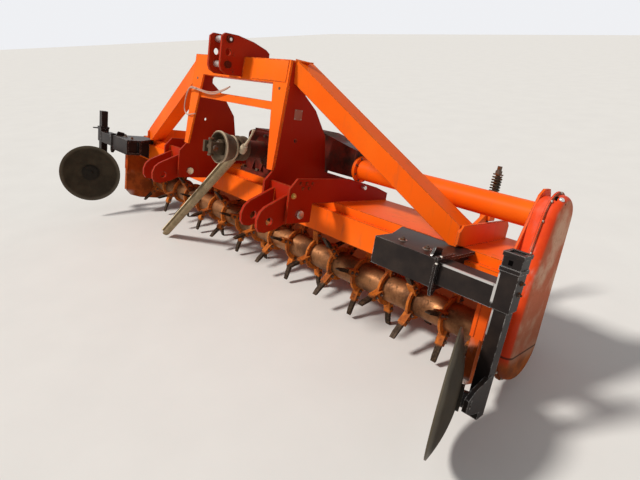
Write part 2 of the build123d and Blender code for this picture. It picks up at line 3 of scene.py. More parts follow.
import json
from math import cos, pi, radians, sin, sqrt

import bmesh
import bpy
from mathutils import Matrix, Vector


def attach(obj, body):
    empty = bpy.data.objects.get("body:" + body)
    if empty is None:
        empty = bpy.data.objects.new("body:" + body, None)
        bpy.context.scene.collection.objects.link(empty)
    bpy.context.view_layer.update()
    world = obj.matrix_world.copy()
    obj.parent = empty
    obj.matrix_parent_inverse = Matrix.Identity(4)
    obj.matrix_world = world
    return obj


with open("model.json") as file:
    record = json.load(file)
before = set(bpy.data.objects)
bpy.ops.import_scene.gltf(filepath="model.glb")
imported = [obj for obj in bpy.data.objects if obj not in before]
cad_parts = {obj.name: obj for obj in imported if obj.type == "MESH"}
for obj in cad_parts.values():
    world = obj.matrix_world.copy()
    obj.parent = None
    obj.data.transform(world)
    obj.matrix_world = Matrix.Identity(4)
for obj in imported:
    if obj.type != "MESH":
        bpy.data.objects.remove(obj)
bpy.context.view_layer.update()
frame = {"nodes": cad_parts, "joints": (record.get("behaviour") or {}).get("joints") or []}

# Machine frame in millimetres: x across, y back from the beam's front face, z square to the leaning deck
lean = radians(13.5)
rotor_y = 185.0
rotor_z = -313.0
across = Vector((1, 0, 0))
back = Vector((0, cos(lean), -sin(lean)))
up = Vector((0, sin(lean), cos(lean)))
joints = {joint["name"]: joint for joint in frame["joints"]}
axle = Vector(joints["rotor_spin"]["pos_m"])
origin = axle - (back * rotor_y + up * rotor_z) / 1000

# Sizes that the trim shares with the solids, in millimetres
web_in = 403.0
web_out = 415.0
outer_in = 585.0
outer_out = 597.0
ear_faces = (439.0, 455.0, 555.0, 571.0)
top_plate_in = 45.0
top_plate_out = 59.0
end_right = 1470.0
end_left = -1560.0
plate_t = 10.0
deck_z = 40.0
deck_back = 432.0
cross_front = -186.0
cross_high = 645.0
front_foot_y = -230.0
front_foot_z = 124.0
front_run = 40.0
front_rise = 526.0
gearcase_face = 1532.2
gearbox_top = 290.0
sleeve_top = 38.0
sleeve_low = -68.0
sleeve_rear = -121.0
sleeve_front = -227.0
arm_y = -174.0
box_x = {"right": 1581.0, "left": -1831.0}
box_y = -185.0
box_half = 31.0
leg_half = 24.0
rods_x = [-1205.0, 1115.0]
rod_y = 575.0
ring_first = 1412.0
ring_pitch = 171.0
ring_count = 18
hinge_y = 470.0
hinge_z = -78.0
neck_z = 195.0
yoke_y = -315.0
collar_y = -139.0

# Angle of the first ring's tines from straight back, and the turn from ring to ring, in degrees
first_tine = -76.5
ring_step = -30.0

# Widths across flats of the bolt heads, and radii of the weld beads, in millimetres
flats_m5 = 8
flats_m7 = 11
flats_m8 = 13
flats_bearing = 15
flats_m10 = 17
flats_m12 = 19
flats_m16 = 24
bead_thin = 3.5
bead = 4.0
bead_thick = 4.5


def at(x, y, z):
    """Point of the shared frame, in metres, from a machine point in millimetres."""
    return origin + (across * x + back * y + up * z) / 1000


def frame_front(z):
    """Depth of the headstock's leaning front plane at height z."""
    return front_foot_y + (z - front_foot_z) * front_run / front_rise


def circle(first, second, radius, degrees):
    """Point on a circle in the plane of two machine axes, its angle counted from the first."""
    angle = radians(degrees)
    return first + radius * cos(angle), second + radius * sin(angle)


def rectangle(left, right, low, high):
    """Four corners in order, as pairs."""
    return [(left, low), (right, low), (right, high), (left, high)]


class Value:
    """A socket of a finish: sums, differences, products and ratios of it add Math nodes."""

    def __init__(self, finish, socket):
        self.finish = finish
        self.socket = socket

    def maths(self, operation, first, second):
        return self.finish.node("ShaderNodeMath", {"operation": operation}, {0: first, 1: second})

    def __add__(self, other):
        return self.maths("ADD", self, other)

    def __radd__(self, other):
        return self.maths("ADD", other, self)

    def __sub__(self, other):
        return self.maths("SUBTRACT", self, other)

    def __rsub__(self, other):
        return self.maths("SUBTRACT", other, self)

    def __mul__(self, other):
        return self.maths("MULTIPLY", self, other)

    def __rmul__(self, other):
        return self.maths("MULTIPLY", other, self)

    def __truediv__(self, other):
        return self.maths("DIVIDE", self, other)

    def most(self, other):
        return self.maths("MAXIMUM", self, other)

    def step(self, low, high):
        """0 below low, 1 above high, and a smooth rise between; high may be the smaller."""
        settings = {"interpolation_type": "SMOOTHSTEP"}
        if low < high:
            return self.finish.node("ShaderNodeMapRange", settings, {0: self, 1: low, 2: high})
        return 1 - self.finish.node("ShaderNodeMapRange", settings, {0: self, 1: high, 2: low})


class Finish:
    """A procedural material on the coordinates of the piece it covers."""

    def __init__(self, name):
        self.material = bpy.data.materials.new(name)
        self.material.use_nodes = True
        self.tree = self.material.node_tree
        self.tree.nodes.clear()
        self.place = self.node("ShaderNodeTexCoord", {}, {}, "Object")
        self.facing = self.node("ShaderNodeTexCoord", {}, {}, "Normal")

    def node(self, kind, settings, sockets, output=0):
        """Adds a node: its settings first, then values or links for its sockets; gives one output."""
        node = self.tree.nodes.new(kind)
        for name, value in settings.items():
            setattr(node, name, value)
        for name, value in sockets.items():
            if isinstance(value, Value):
                self.tree.links.new(value.socket, node.inputs[name])
            else:
                node.inputs[name].default_value = value
        return Value(self, node.outputs[output])

    def noise(self, scale, detail, roughness=0.55, stretch=(1, 1, 1)):
        """Noise from 0 to 1, its scale in waves a metre, longer along an axis whose stretch is small."""
        placed = self.node("ShaderNodeVectorMath", {"operation": "MULTIPLY"}, {0: self.place, 1: stretch})
        sockets = {"Vector": placed, "Scale": scale, "Detail": detail, "Roughness": roughness}
        return self.node("ShaderNodeTexNoise", {}, sockets)

    def height(self):
        """Height above the ground at rest, in metres."""
        return self.node("ShaderNodeSeparateXYZ", {}, {0: self.place}, "Z")

    def upward(self):
        """How far the surface faces up, from -1 to 1."""
        return self.node("ShaderNodeSeparateXYZ", {}, {0: self.facing}, "Z")

    def reach(self, centre, spread=(1, 1, 1)):
        """Distance from a point, or from a line where spread drops an axis, in metres."""
        offset = self.node("ShaderNodeVectorMath", {"operation": "SUBTRACT"}, {0: self.place, 1: centre})
        spread_out = self.node("ShaderNodeVectorMath", {"operation": "MULTIPLY"}, {0: offset, 1: spread})
        return self.node("ShaderNodeVectorMath", {"operation": "LENGTH"}, {0: spread_out}, "Value")

    def edge(self, width):
        """1 on sharp edges, fading over a width in metres."""
        rounded = self.node("ShaderNodeBevel", {"samples": 4}, {"Radius": width})
        flat = self.node("ShaderNodeNewGeometry", {}, {}, "Normal")
        product = {"operation": "DOT_PRODUCT"}
        same = self.node("ShaderNodeVectorMath", product, {0: rounded, 1: flat}, "Value")
        return (1 - same).step(0.01, 0.16)

    def mix(self, share, first, second):
        """Second colour over first by a share."""
        return self.node("ShaderNodeMix", {"data_type": "RGBA"}, {0: share, 6: first, 7: second}, 2)

    def machine(self, axis):
        """Distance along a machine axis from the beam's front edge, in metres."""
        offset = self.node("ShaderNodeVectorMath", {"operation": "SUBTRACT"}, {0: self.place, 1: origin})
        return self.node("ShaderNodeVectorMath", {"operation": "DOT_PRODUCT"}, {0: offset, 1: axis}, "Value")

    def beside(self, lines, width):
        """1 on the line where each machine axis in lines has its value in millimetres, 0 a width away."""
        apart = 0.0
        for axis, value in lines:
            offset = self.machine(axis) * 1000 - value
            apart = offset * offset + apart
        return apart.step(width**2, (0.6 * width) ** 2)

    def surface(self, colour, roughness, metallic=0.0, relief=0.0, depth=0.001, shine=0.07):
        """Closes the material with its shader; relief goes from 0 to 1, and depth is its size in metres."""
        sockets = {"Base Color": colour, "Roughness": roughness, "Metallic": metallic}
        sockets["Specular IOR Level"] = shine
        if isinstance(relief, Value):
            bump = {"Strength": 1.0, "Distance": depth, "Height": relief}
            sockets["Normal"] = self.node("ShaderNodeBump", {}, bump)
        shader = self.node("ShaderNodeBsdfPrincipled", {}, sockets)
        output = self.tree.nodes.new("ShaderNodeOutputMaterial")
        self.tree.links.new(shader.socket, output.inputs["Surface"])
        return self.material


rust_dark = (0.060, 0.022, 0.010, 1)
rust_light = (0.26, 0.085, 0.026, 1)
bright_steel = (0.56, 0.53, 0.50, 1)
dust = (0.36, 0.22, 0.12, 1)
soil = (0.13, 0.075, 0.038, 1)


def farm_paint(name, colour, faded, wear, dirt):
    """Sprayed paint, faded in patches, chipped to rust at its edges and a little dusty on top."""
    finish = Finish(name)
    broad = finish.noise(1.9, 3)
    blotch = finish.noise(9, 5, 0.6)
    fine = finish.noise(70, 5, 0.65)
    runs = finish.noise(30, 4, 0.6, (1, 1, 0.09))
    edge = finish.edge(0.007)
    base = finish.mix(broad.step(0.38, 0.68), colour, faded)
    grime = (runs.step(0.54, 0.80) * 0.30 + blotch.step(0.55, 0.8) * 0.20) * dirt
    base = finish.mix(grime, base, soil)
    settled = finish.upward().step(0.45, 1.0) * blotch.step(0.45, 0.85) * 0.10 * dirt
    low = finish.height().step(0.36, 0.06) * (blotch * 0.8 + 0.2) * 0.6 * dirt
    powder = settled.most(low)
    base = finish.mix(powder, base, dust)
    rubbed = (edge * 0.7 + fine * 0.4).step(0.72, 0.95) * wear
    base = finish.mix(rubbed * 0.4, base, (0.80, 0.30, 0.14, 1))
    chip = (edge * 0.62 * wear + fine * 0.75 + blotch * 0.35).step(0.97, 1.04)
    fleck = (fine + blotch * 0.4).step(0.95, 0.99) * wear
    bare = chip.most(fleck)
    metal = finish.mix(fine.step(0.4, 0.62), rust_dark, rust_light)
    base = finish.mix(bare, base, metal)
    roughness = 0.42 + powder * 0.4 + bare * 0.30 + broad * 0.08
    relief = fine * 0.12 - bare * 0.5 + powder * blotch * 0.3
    return finish.surface(base, roughness, 0.0, relief, 0.0006)


def gearcase_wear_and_shade():
    """Paint of the gearcase: red in front, rubbed to brown on the outer face, darkened towards the bottom as
    painted shade, and rusty at the foot.
    """
    finish = Finish("gearcase_wear_and_shade")
    height = finish.machine(up)
    blotch = finish.noise(9, 5, 0.6)
    fine = finish.noise(75, 5, 0.65)
    scrape = finish.noise(26, 5, 0.6, (1, 0.3, 0.3))
    outward = finish.node("ShaderNodeSeparateXYZ", {}, {0: finish.facing}, "X")
    red = finish.mix(blotch.step(0.4, 0.7), (0.80, 0.070, 0.012, 1), (0.66, 0.045, 0.012, 1))
    chalk = (scrape * 0.8 + blotch * 0.3).step(0.50, 0.72)
    pale = height.step(-0.12, 0.0) * height.step(0.22, 0.08)
    red = finish.mix(chalk * (pale * 0.5 + 0.2), red, (0.76, 0.36, 0.27, 1))
    brown = finish.mix(scrape.step(0.42, 0.66), (0.50, 0.14, 0.070, 1), (0.62, 0.36, 0.24, 1))
    brown = finish.mix(fine.step(0.55, 0.75) * 0.6, brown, rust_light)
    sideways = outward.step(0.72, 0.97) * (blotch * 0.5 + 0.75)
    base = finish.mix(sideways, red, brown)
    # Lower half darkened to deep red and brown: painted shade
    painted_light_mask = (height + blotch * 0.12).step(0.02, -0.22)
    shade = finish.mix(sideways, (0.36, 0.022, 0.007, 1), (0.17, 0.060, 0.028, 1))
    base = finish.mix(painted_light_mask * 0.62, base, shade)
    foot = (height + blotch * 0.05).step(-0.285, -0.345)
    rusty = finish.mix(blotch.step(0.4, 0.62), (0.16, 0.045, 0.014, 1), (0.34, 0.085, 0.016, 1))
    base = finish.mix(foot * 0.92, base, rusty)
    seam = (height + 0.318) * (height + 0.318)
    base = finish.mix(seam.step(0.00003, 0.00001) * 0.8, base, (0.03, 0.012, 0.008, 1))
    chip = (finish.edge(0.006) * 0.5 + fine * 0.8 + blotch * 0.3).step(0.90, 1.0)
    base = finish.mix(chip, base, rust_dark)
    roughness = 0.46 + sideways * 0.22 + foot * 0.15
    return finish.surface(base, roughness, 0.0, fine * 0.25 + scrape * 0.2 - chip * 0.4, 0.0007)


def side_lips(name, paint, shaded):
    """Side plates: the given paint above (on the left plate darkened as painted shade), then rust, then bare
    soil-worn steel at the front lips' low ends.
    """
    finish = Finish(name)
    height = finish.machine(up)
    depth = finish.machine(back)
    blotch = finish.noise(12, 5, 0.6)
    fine = finish.noise(70, 5, 0.65)
    base = finish.mix(blotch.step(0.35, 0.7), paint, shaded)
    low = (height + blotch * 0.06).step(-0.185, -0.235)
    rusty = finish.mix(blotch.step(0.42, 0.6), (0.22, 0.050, 0.012, 1), (0.42, 0.090, 0.018, 1))
    base = finish.mix(low * 0.85, base, rusty)
    front = depth.step(-0.02, -0.09)
    streak = finish.noise(30, 4, 0.6, (1, 0.25, 0.25)).step(0.52, 0.66) * low * front
    base = finish.mix(streak * 0.75, base, (0.62, 0.25, 0.17, 1))
    bare = (height + blotch * 0.05).step(-0.355, -0.385) * front
    base = finish.mix(bare * 0.9, base, (0.58, 0.54, 0.50, 1))
    chip = (finish.edge(0.005) * 0.5 + fine * 0.8 + blotch * 0.3).step(0.90, 1.0)
    base = finish.mix(chip, base, rust_dark)
    return finish.surface(base, 0.46 + low * 0.2, bare * 0.5, fine * 0.2 - chip * 0.4, 0.0006)


def scuffed_black(name, highlight_lines=()):
    """Black sprayed steel with a brown tinge, rubbed bright on its edges, with bright steel along any given
    lines as painted highlight.
    """
    finish = Finish(name)
    blotch = finish.noise(11, 5, 0.6)
    fine = finish.noise(85, 5, 0.65)
    scratch = finish.noise(60, 3, 0.6, (0.05, 1, 1))
    edge = finish.edge(0.005)
    base = finish.mix(blotch.step(0.35, 0.75), (0.012, 0.008, 0.007, 1), (0.026, 0.017, 0.013, 1))
    powder = finish.upward().step(0.5, 1.0) * blotch.step(0.35, 0.75) * 0.03
    base = finish.mix(powder, base, dust)
    rusty = (fine * 0.8 + blotch * 0.5 + edge * 0.25).step(0.88, 1.02)
    base = finish.mix(rusty * 0.6, base, rust_dark)
    rubbed = (edge * 0.72 + scratch * 0.55).step(0.92, 1.10)
    # Each given line adds bright steel to the rubbed mask: painted highlight along a sunlit edge
    for lines, width, run, low, high in highlight_lines:
        reach = finish.machine(run) * 1000
        within = reach.step(low, low + 12) * reach.step(high + 12, high)
        painted_light_mask = (finish.beside(lines, width) * (0.7 + fine * 0.6)).step(0.25, 0.55)
        rubbed = rubbed.most(painted_light_mask * within)
    base = finish.mix(rubbed, base, bright_steel)
    roughness = 0.40 + powder * 0.4 - rubbed * 0.1 + rusty * 0.3
    return finish.surface(base, roughness, rubbed * 0.7, fine * 0.3 - rubbed * 0.4, 0.0005, 0.15)


def pin_wear():
    """Bright pins, their ends outside the top link plates painted over in a very dark red that is painted
    shade, but for the upper one's middle.
    """
    finish = Finish("pin_wear")
    fine = finish.noise(120, 4, 0.6)
    aside = finish.machine(across)
    outside = (aside * aside).step(0.056**2, 0.058**2)
    middle = finish.beside(((back, -300), (up, 712)), 9)
    end_paint_painted_shade = outside * (1 - middle)
    base = finish.mix(fine.step(0.3, 0.7) * 0.3, (0.68, 0.66, 0.62, 1), (0.40, 0.33, 0.27, 1))
    # Pin ends outside the plates: the plates' paint darkened to very dark red, painted shade
    base = finish.mix(end_paint_painted_shade, base, (0.10, 0.012, 0.005, 1))
    return finish.surface(base, 0.32 + end_paint_painted_shade * 0.2, 0.85 - end_paint_painted_shade * 0.85, fine * 0.3, 0.0004)


def soiled_disc(name, centre):
    """Dark ground-worn steel: a darker round about the middle, painted shade in the dish, and a paler worn
    rim.
    """
    finish = Finish(name)
    away = finish.reach(centre)
    blotch = finish.noise(11, 4, 0.55)
    fine = finish.noise(120, 4, 0.6)
    base = finish.mix(blotch.step(0.35, 0.7), (0.030, 0.021, 0.012, 1), (0.050, 0.036, 0.021, 1))
    base = finish.mix(fine.step(0.58, 0.75) * 0.25, base, (0.12, 0.060, 0.028, 1))
    rim = (away + blotch * 0.02).step(0.195, 0.222)
    base = finish.mix(rim * 0.55, base, (0.14, 0.115, 0.080, 1))
    # Darker round about the hub: painted shade in the dish
    middle = (away + blotch * 0.015).step(0.094, 0.076)
    base = finish.mix(middle * 0.75, base, (0.011, 0.009, 0.007, 1))
    roughness = 0.58 - rim * 0.16 + blotch * 0.1
    return finish.surface(base, roughness, 0.3, fine * 0.3 + blotch * 0.3, 0.0006, 0.15)


def rotor_wear():
    """Rotor steel by distance from its axle: bronze tube, rusty orange holders and dark worn tips."""
    finish = Finish("rotor_wear")
    away = finish.reach(axle, (0, 1, 1))
    blotch = finish.noise(17, 5, 0.62)
    fine = finish.noise(95, 5, 0.65)
    edge = finish.edge(0.005)
    holder = finish.mix(blotch.step(0.42, 0.62), (0.56, 0.150, 0.020, 1), (0.34, 0.085, 0.018, 1))
    holder = finish.mix(fine.step(0.52, 0.66) * 0.7, holder, rust_dark)
    holder = finish.mix(edge * fine.step(0.35, 0.55) * 0.5, holder, (0.50, 0.24, 0.11, 1))
    rubbed = (finish.noise(7, 4, 0.5) * 0.8 + fine * 0.2).step(0.66, 0.34)
    tube = finish.mix(rubbed, (0.075, 0.028, 0.011, 1), (0.34, 0.150, 0.062, 1))
    tip = finish.mix(fine.step(0.4, 0.7), (0.032, 0.020, 0.013, 1), (0.085, 0.055, 0.034, 1))
    past_tube = away.step(0.0685, 0.0705)
    past_holder = (away + blotch * 0.03).step(0.148, 0.166)
    base = finish.mix(past_tube, tube, holder)
    base = finish.mix(past_holder, base, tip)
    clod = (finish.noise(34, 6, 0.7) + blotch * 0.35).step(0.76, 0.90)
    base = finish.mix(clod * 0.6, base, soil)
    polish = rubbed * (1 - past_tube)
    roughness = 0.62 - polish * 0.26 - past_holder * 0.1 + clod * 0.2
    metallic = polish * 0.75 + past_holder * 0.3
    return finish.surface(base, roughness, metallic, fine * 0.4 + blotch * 0.3 + clod * 0.9, 0.0010)


def dusty_plastic(name, colour, bleached, stains):
    """Old guard plastic, bleached in patches, stained by oil and scratched."""
    finish = Finish(name)
    blotch = finish.noise(12, 5, 0.6)
    fine = finish.noise(90, 4, 0.6)
    stain = finish.noise(26, 5, 0.65, (1, 1, 0.35))
    base = finish.mix(blotch.step(0.3, 0.75) * 0.5, colour, bleached)
    base = finish.mix(stain.step(0.50, 0.70) * stains, base, (0.070, 0.045, 0.027, 1))
    base = finish.mix(finish.edge(0.004) * 0.4, base, bleached)
    roughness = 0.55 + stain * 0.25
    return finish.surface(base, roughness, 0.0, fine * 0.3 + stain * 0.25, 0.0005)


def ridged_tube():
    """Guard tube of dark olive plastic with pale bands along its upward-facing sides: painted highlight,
    standing also for its pale dusty ridges.
    """
    finish = Finish("ridged_tube")
    blotch = finish.noise(14, 5, 0.6)
    fine = finish.noise(90, 4, 0.6)
    upward = finish.upward()
    # Pale bands where the tube faces up: painted highlight, partly its ridges
    ridge_and_highlight = (upward.step(0.30, 0.52) - upward.step(0.62, 0.80)).most(upward.step(0.90, 0.97))
    base = finish.mix(blotch.step(0.3, 0.7), (0.24, 0.175, 0.095, 1), (0.36, 0.27, 0.16, 1))
    base = finish.mix(ridge_and_highlight * (blotch * 0.5 + 0.6), base, (0.70, 0.58, 0.38, 1))
    base = finish.mix((fine + blotch * 0.3).step(0.72, 0.84) * 0.6, base, (0.060, 0.040, 0.022, 1))
    return finish.surface(base, 0.62, 0.0, fine * 0.3 + ridge_and_highlight * 0.5, 0.0006)


def oily_casting():
    """Cast housing with old red paint under oil and caked dust."""
    finish = Finish("oily_casting")
    blotch = finish.noise(8, 5, 0.6)
    fine = finish.noise(150, 3, 0.6)
    edge = finish.edge(0.006)
    base = finish.mix(blotch.step(0.35, 0.65), (0.16, 0.018, 0.010, 1), (0.055, 0.022, 0.015, 1))
    caked = finish.upward().step(0.3, 0.95) * blotch.step(0.38, 0.62) * 0.4
    base = finish.mix(caked, base, (0.14, 0.080, 0.045, 1))
    base = finish.mix(edge * 0.3, base, (0.24, 0.075, 0.040, 1))
    wet = finish.noise(5, 4, 0.6).step(0.46, 0.60)
    base = finish.mix(wet * 0.7, base, (0.014, 0.009, 0.007, 1))
    return finish.surface(base, 0.6 - wet * 0.25 + caked * 0.25, 0.0, fine * 0.7 + caked * 0.4, 0.0012)


def plain_steel(name, colour, rust_share, roughness=0.38):
    """Turned or plated steel with a share of rust bloom."""
    finish = Finish(name)
    blotch = finish.noise(45, 5, 0.65)
    fine = finish.noise(260, 3, 0.6)
    rusty = blotch.step(0.72 - rust_share * 0.4, 0.80 - rust_share * 0.4)
    base = finish.mix(fine.step(0.3, 0.7) * 0.4, colour, tuple(0.6 * part for part in colour[:3]) + (1,))
    base = finish.mix(rusty, base, finish.mix(fine, rust_dark, rust_light))
    return finish.surface(base, roughness + rusty * 0.4, 0.9 - rusty * 0.8, fine * 0.3 + rusty * 0.5, 0.0004)


orange = farm_paint("orange_paint_work", (0.88, 0.110, 0.003, 1), (0.90, 0.150, 0.008, 1), 0.8, 0.8)
orange_end = farm_paint("orange_paint_ends", (0.76, 0.085, 0.005, 1), (0.80, 0.120, 0.018, 1), 1.1, 1.0)
# Webs, consoles, hitch ears, top link plates and the bolts on them: the frame's orange paint darkened to deep
# red, painted shade
orange_in_painted_shade = farm_paint("orange_paint_webs_painted_shade", (0.36, 0.013, 0.002, 1), (0.43, 0.024, 0.004, 1), 0.9, 0.5)
gearcase_paint = gearcase_wear_and_shade()
side_paint = side_lips("side_paint", (0.84, 0.105, 0.006, 1), (0.78, 0.090, 0.010, 1))
# Left side plate and its bearing housing: the side paint darkened, painted shade
left_side_paint_painted_shade = side_lips("left_side_paint_painted_shade", (0.42, 0.062, 0.006, 1), (0.30, 0.040, 0.005, 1))
black = scuffed_black("scuffed_black")
# Bright lines on the arm's top edge, the clamp box's front corner and the leg's front corner: painted
# highlight
arm_highlight_lines = [
    (((back, arm_y - 40), (up, 25)), 9, across, 1352, 1538),
    (((across, box_x["right"] - box_half), (back, box_y - box_half)), 6, up, -40, 58),
]
leg_highlight_lines = [(((across, box_x["right"] - leg_half), (back, box_y - leg_half)), 6, up, -150, -64)]
black_arm = scuffed_black("scuffed_black_arm_with_highlight", arm_highlight_lines)
black_leg = scuffed_black("scuffed_black_leg_with_highlight", leg_highlight_lines)
rotor_steel = rotor_wear()
bell_plastic = dusty_plastic("bell_plastic", (0.110, 0.075, 0.048, 1), (0.30, 0.225, 0.150, 1), 0.7)
collar_plastic = dusty_plastic("collar_plastic", (0.080, 0.050, 0.030, 1), (0.17, 0.120, 0.075, 1), 0.7)
pale_plastic = dusty_plastic("pale_plastic", (0.48, 0.38, 0.25, 1), (0.60, 0.50, 0.36, 1), 0.4)
tube_plastic = ridged_tube()
casting = oily_casting()
zinc = plain_steel("zinc_steel", (0.50, 0.46, 0.40, 1), 0.35)
bright = plain_steel("bright_pins", (0.72, 0.70, 0.66, 1), 0.05, 0.24)
dull = plain_steel("dull_steel", (0.15, 0.11, 0.085, 1), 0.60, 0.5)
yellow_zinc = plain_steel("yellow_zinc", (0.55, 0.36, 0.12, 1), 0.30, 0.4)
spring_black = plain_steel("spring_steel", (0.075, 0.055, 0.035, 1), 0.45, 0.5)
# Near-black for recesses and holes: painted shade
recess_shade = plain_steel("painted_recess_shade", (0.004, 0.003, 0.003, 1), 0.0, 0.9)
twine_finish = dusty_plastic("pale_twine", (0.46, 0.27, 0.20, 1), (0.60, 0.42, 0.34, 1), 0.1)
blank_plate = dusty_plastic("blank_plate", (0.36, 0.13, 0.085, 1), (0.46, 0.22, 0.16, 1), 0.3)

# Finish of each imported piece; the deep red on the webs, consoles, hitch ears and top link plates is painted
# shade
node_finishes = {
    "top_link_plates": orange_in_painted_shade,
    "side_plate_right": side_paint,
    "side_plate_left": left_side_paint_painted_shade,
    "gearcase": gearcase_paint,
    "gearcase_cover": gearcase_paint,
    "levelling_board": orange_end,
    "rotor_right": rotor_steel,
    "rotor_left": rotor_steel,
    "rotor_bearings": dull,
    "gearbox": casting,
    "side_housing": casting,
    "input_neck": casting,
    "bell_guard": bell_plastic,
    "neck_collar": collar_plastic,
    "guard_tube": tube_plastic,
    "drive_yoke": collar_plastic,
    "top_link_pins": pin_wear(),
    "pivot_pins": bright,
    "hinge_rod": dull,
    "spring_rods": dull,
}
for hand in ("right", "left"):
    hub = Vector(joints["disc_" + hand + "_spin"]["pos_m"])
    node_finishes["disc_" + hand] = soiled_disc("soiled_disc_" + hand, hub)
    for part in ("headstock_web_", "console_plate_", "hitch_ears_"):
        node_finishes[part + hand] = orange_in_painted_shade
    for part in ("sleeve_", "arm_", "leg_"):
        node_finishes[part + hand] = black
node_finishes["arm_right"] = black_arm
node_finishes["leg_right"] = black_leg

for name, node in frame["nodes"].items():
    finish = node_finishes.get(name, orange)
    if node.material_slots:
        for slot in node.material_slots:
            slot.material = finish
    else:
        node.data.materials.append(finish)


def stand_on(base, axis, turn=0.0):
    """Matrix that puts a local z axis along axis at base."""
    turned = Vector(axis).normalized().to_track_quat("Z", "Y").to_matrix().to_4x4()
    return Matrix.Translation(base) @ turned @ Matrix.Rotation(turn, 4, "Z")


def add_lathe(mesh, base, axis, profile, count, turn=0.0):
    """Turned shape from a profile of (radius, height) in millimetres, closed on its axis at both ends."""
    place = stand_on(base, axis, turn)
    rings = []
    for radius, height in profile:
        ring = []
        for i in range(count):
            angle = 2 * pi * i / count
            spot = Vector((radius * cos(angle), radius * sin(angle), height)) / 1000
            ring.append(mesh.verts.new(place @ spot))
        rings.append(ring)
    for low, high in zip(rings, rings[1:]):
        for i in range(count):
            j = (i + 1) % count
            mesh.faces.new((low[i], low[j], high[j], high[i]))
    mesh.faces.new(list(reversed(rings[0])))
    mesh.faces.new(rings[-1])


def add_ring(mesh, base, axis, loop):
    """Ring about an axis from a closed loop of (radius, height) in millimetres."""
    place = stand_on(base, axis)
    count = 48
    rings = []
    for i in range(count):
        angle = 2 * pi * i / count
        ring = []
        for radius, height in loop:
            spot = Vector((radius * cos(angle), radius * sin(angle), height)) / 1000
            ring.append(mesh.verts.new(place @ spot))
        rings.append(ring)
    for i in range(count):
        here, ahead = rings[i], rings[(i + 1) % count]
        for k in range(len(loop)):
            j = (k + 1) % len(loop)
            mesh.faces.new((here[k], here[j], ahead[j], ahead[k]))


def add_bolt(mesh, base, axis, flats, stud=0.0):
    """Washer and chamfered hexagon standing on a face, with a thread end where stud is given."""
    hexagon_turn = 0.4
    corner = flats / sqrt(3)
    washer = 0.16 * corner
    top = washer + 0.75 * corner
    disc = [(1.28 * corner, -0.3), (1.28 * corner, washer), (corner, washer)]
    add_lathe(mesh, base, axis, disc, 18)
    hexagon = [(corner, washer), (corner, top - 0.12 * corner), (0.86 * corner, top)]
    add_lathe(mesh, base, axis, hexagon, 6, hexagon_turn)
    if stud:
        thread = [(0.5 * corner, top - 1), (0.5 * corner, top + stud - 1), (0.38 * corner, top + stud)]
        add_lathe(mesh, base, axis, thread, 12)


def add_tube(mesh, points, radii, sides):
    """Round bar through points in metres, its radius in millimetres, one for all or one a point."""
    if not hasattr(radii, "__len__"):
        radii = [radii] * len(points)
    ahead = (points[1] - points[0]).normalized()
    normal = ahead.orthogonal().normalized()
    rings = []
    for i, point in enumerate(points):
        before = points[max(i - 1, 0)]
        after = points[min(i + 1, len(points) - 1)]
        ahead = (after - before).normalized()
        normal = (normal - ahead * normal.dot(ahead)).normalized()
        aside = ahead.cross(normal)
        ring = []
        for k in range(sides):
            angle = 2 * pi * k / sides
            ring.append(mesh.verts.new(point + (normal * cos(angle) + aside * sin(angle)) * radii[i] / 1000))
        rings.append(ring)
    for low, high in zip(rings, rings[1:]):
        for k in range(sides):
            j = (k + 1) % sides
            mesh.faces.new((low[k], low[j], high[j], high[k]))
    mesh.faces.new(list(reversed(rings[0])))
    mesh.faces.new(rings[-1])


def add_weld(mesh, start, end, radius):
    """Rippled weld bead along a seam."""
    pitch = 5.0
    length = (end - start).length * 1000
    count = max(4, int(length / pitch))
    points = []
    radii = []
    for i in range(2 * count + 1):
        share = i / (2 * count)
        wave = sin(i * 2.1) * 0.12
        points.append(start.lerp(end, share))
        radii.append(radius * (1.0 if i % 2 else 0.8) * (1 + wave))
    add_tube(mesh, points, radii, 6)


def add_slab(mesh, corners, along, thickness):
    """Flat plate from corners in order, thickened along a direction, its edges eased."""
    shift = along * thickness / 1000
    low = [mesh.verts.new(corner) for corner in corners]
    high = [mesh.verts.new(corner + shift) for corner in corners]
    count = len(corners)
    faces = [mesh.faces.new(list(reversed(low))), mesh.faces.new(high)]
    for i in range(count):
        j = (i + 1) % count
        faces.append(mesh.faces.new((low[i], low[j], high[j], high[i])))
    edges = [edge for face in faces[:2] for edge in face.edges]
    ease = min(1.2, thickness * 0.25) / 1000
    bmesh.ops.bevel(mesh, geom=edges, offset=ease, segments=2, affect="EDGES", profile=0.6)


def add_plate(mesh, x, outline, sign, thickness):
    """Plate square to the machine's width, its outline in (y, z), that stands from x towards sign."""
    add_slab(mesh, [at(x, y, z) for y, z in outline], across * sign, thickness)


def piece(name, mesh, body, finish):
    """Makes one scene piece from a bmesh and puts it on its body."""
    sharp = radians(38)
    bmesh.ops.recalc_face_normals(mesh, faces=mesh.faces)
    data = bpy.data.meshes.new(name)
    mesh.to_mesh(data)
    mesh.free()
    data.shade_smooth()
    data.set_sharp_from_angle(angle=sharp)
    data.materials.append(finish)
    made = bpy.data.objects.new(name, data)
    bpy.context.scene.collection.objects.link(made)
    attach(made, body)


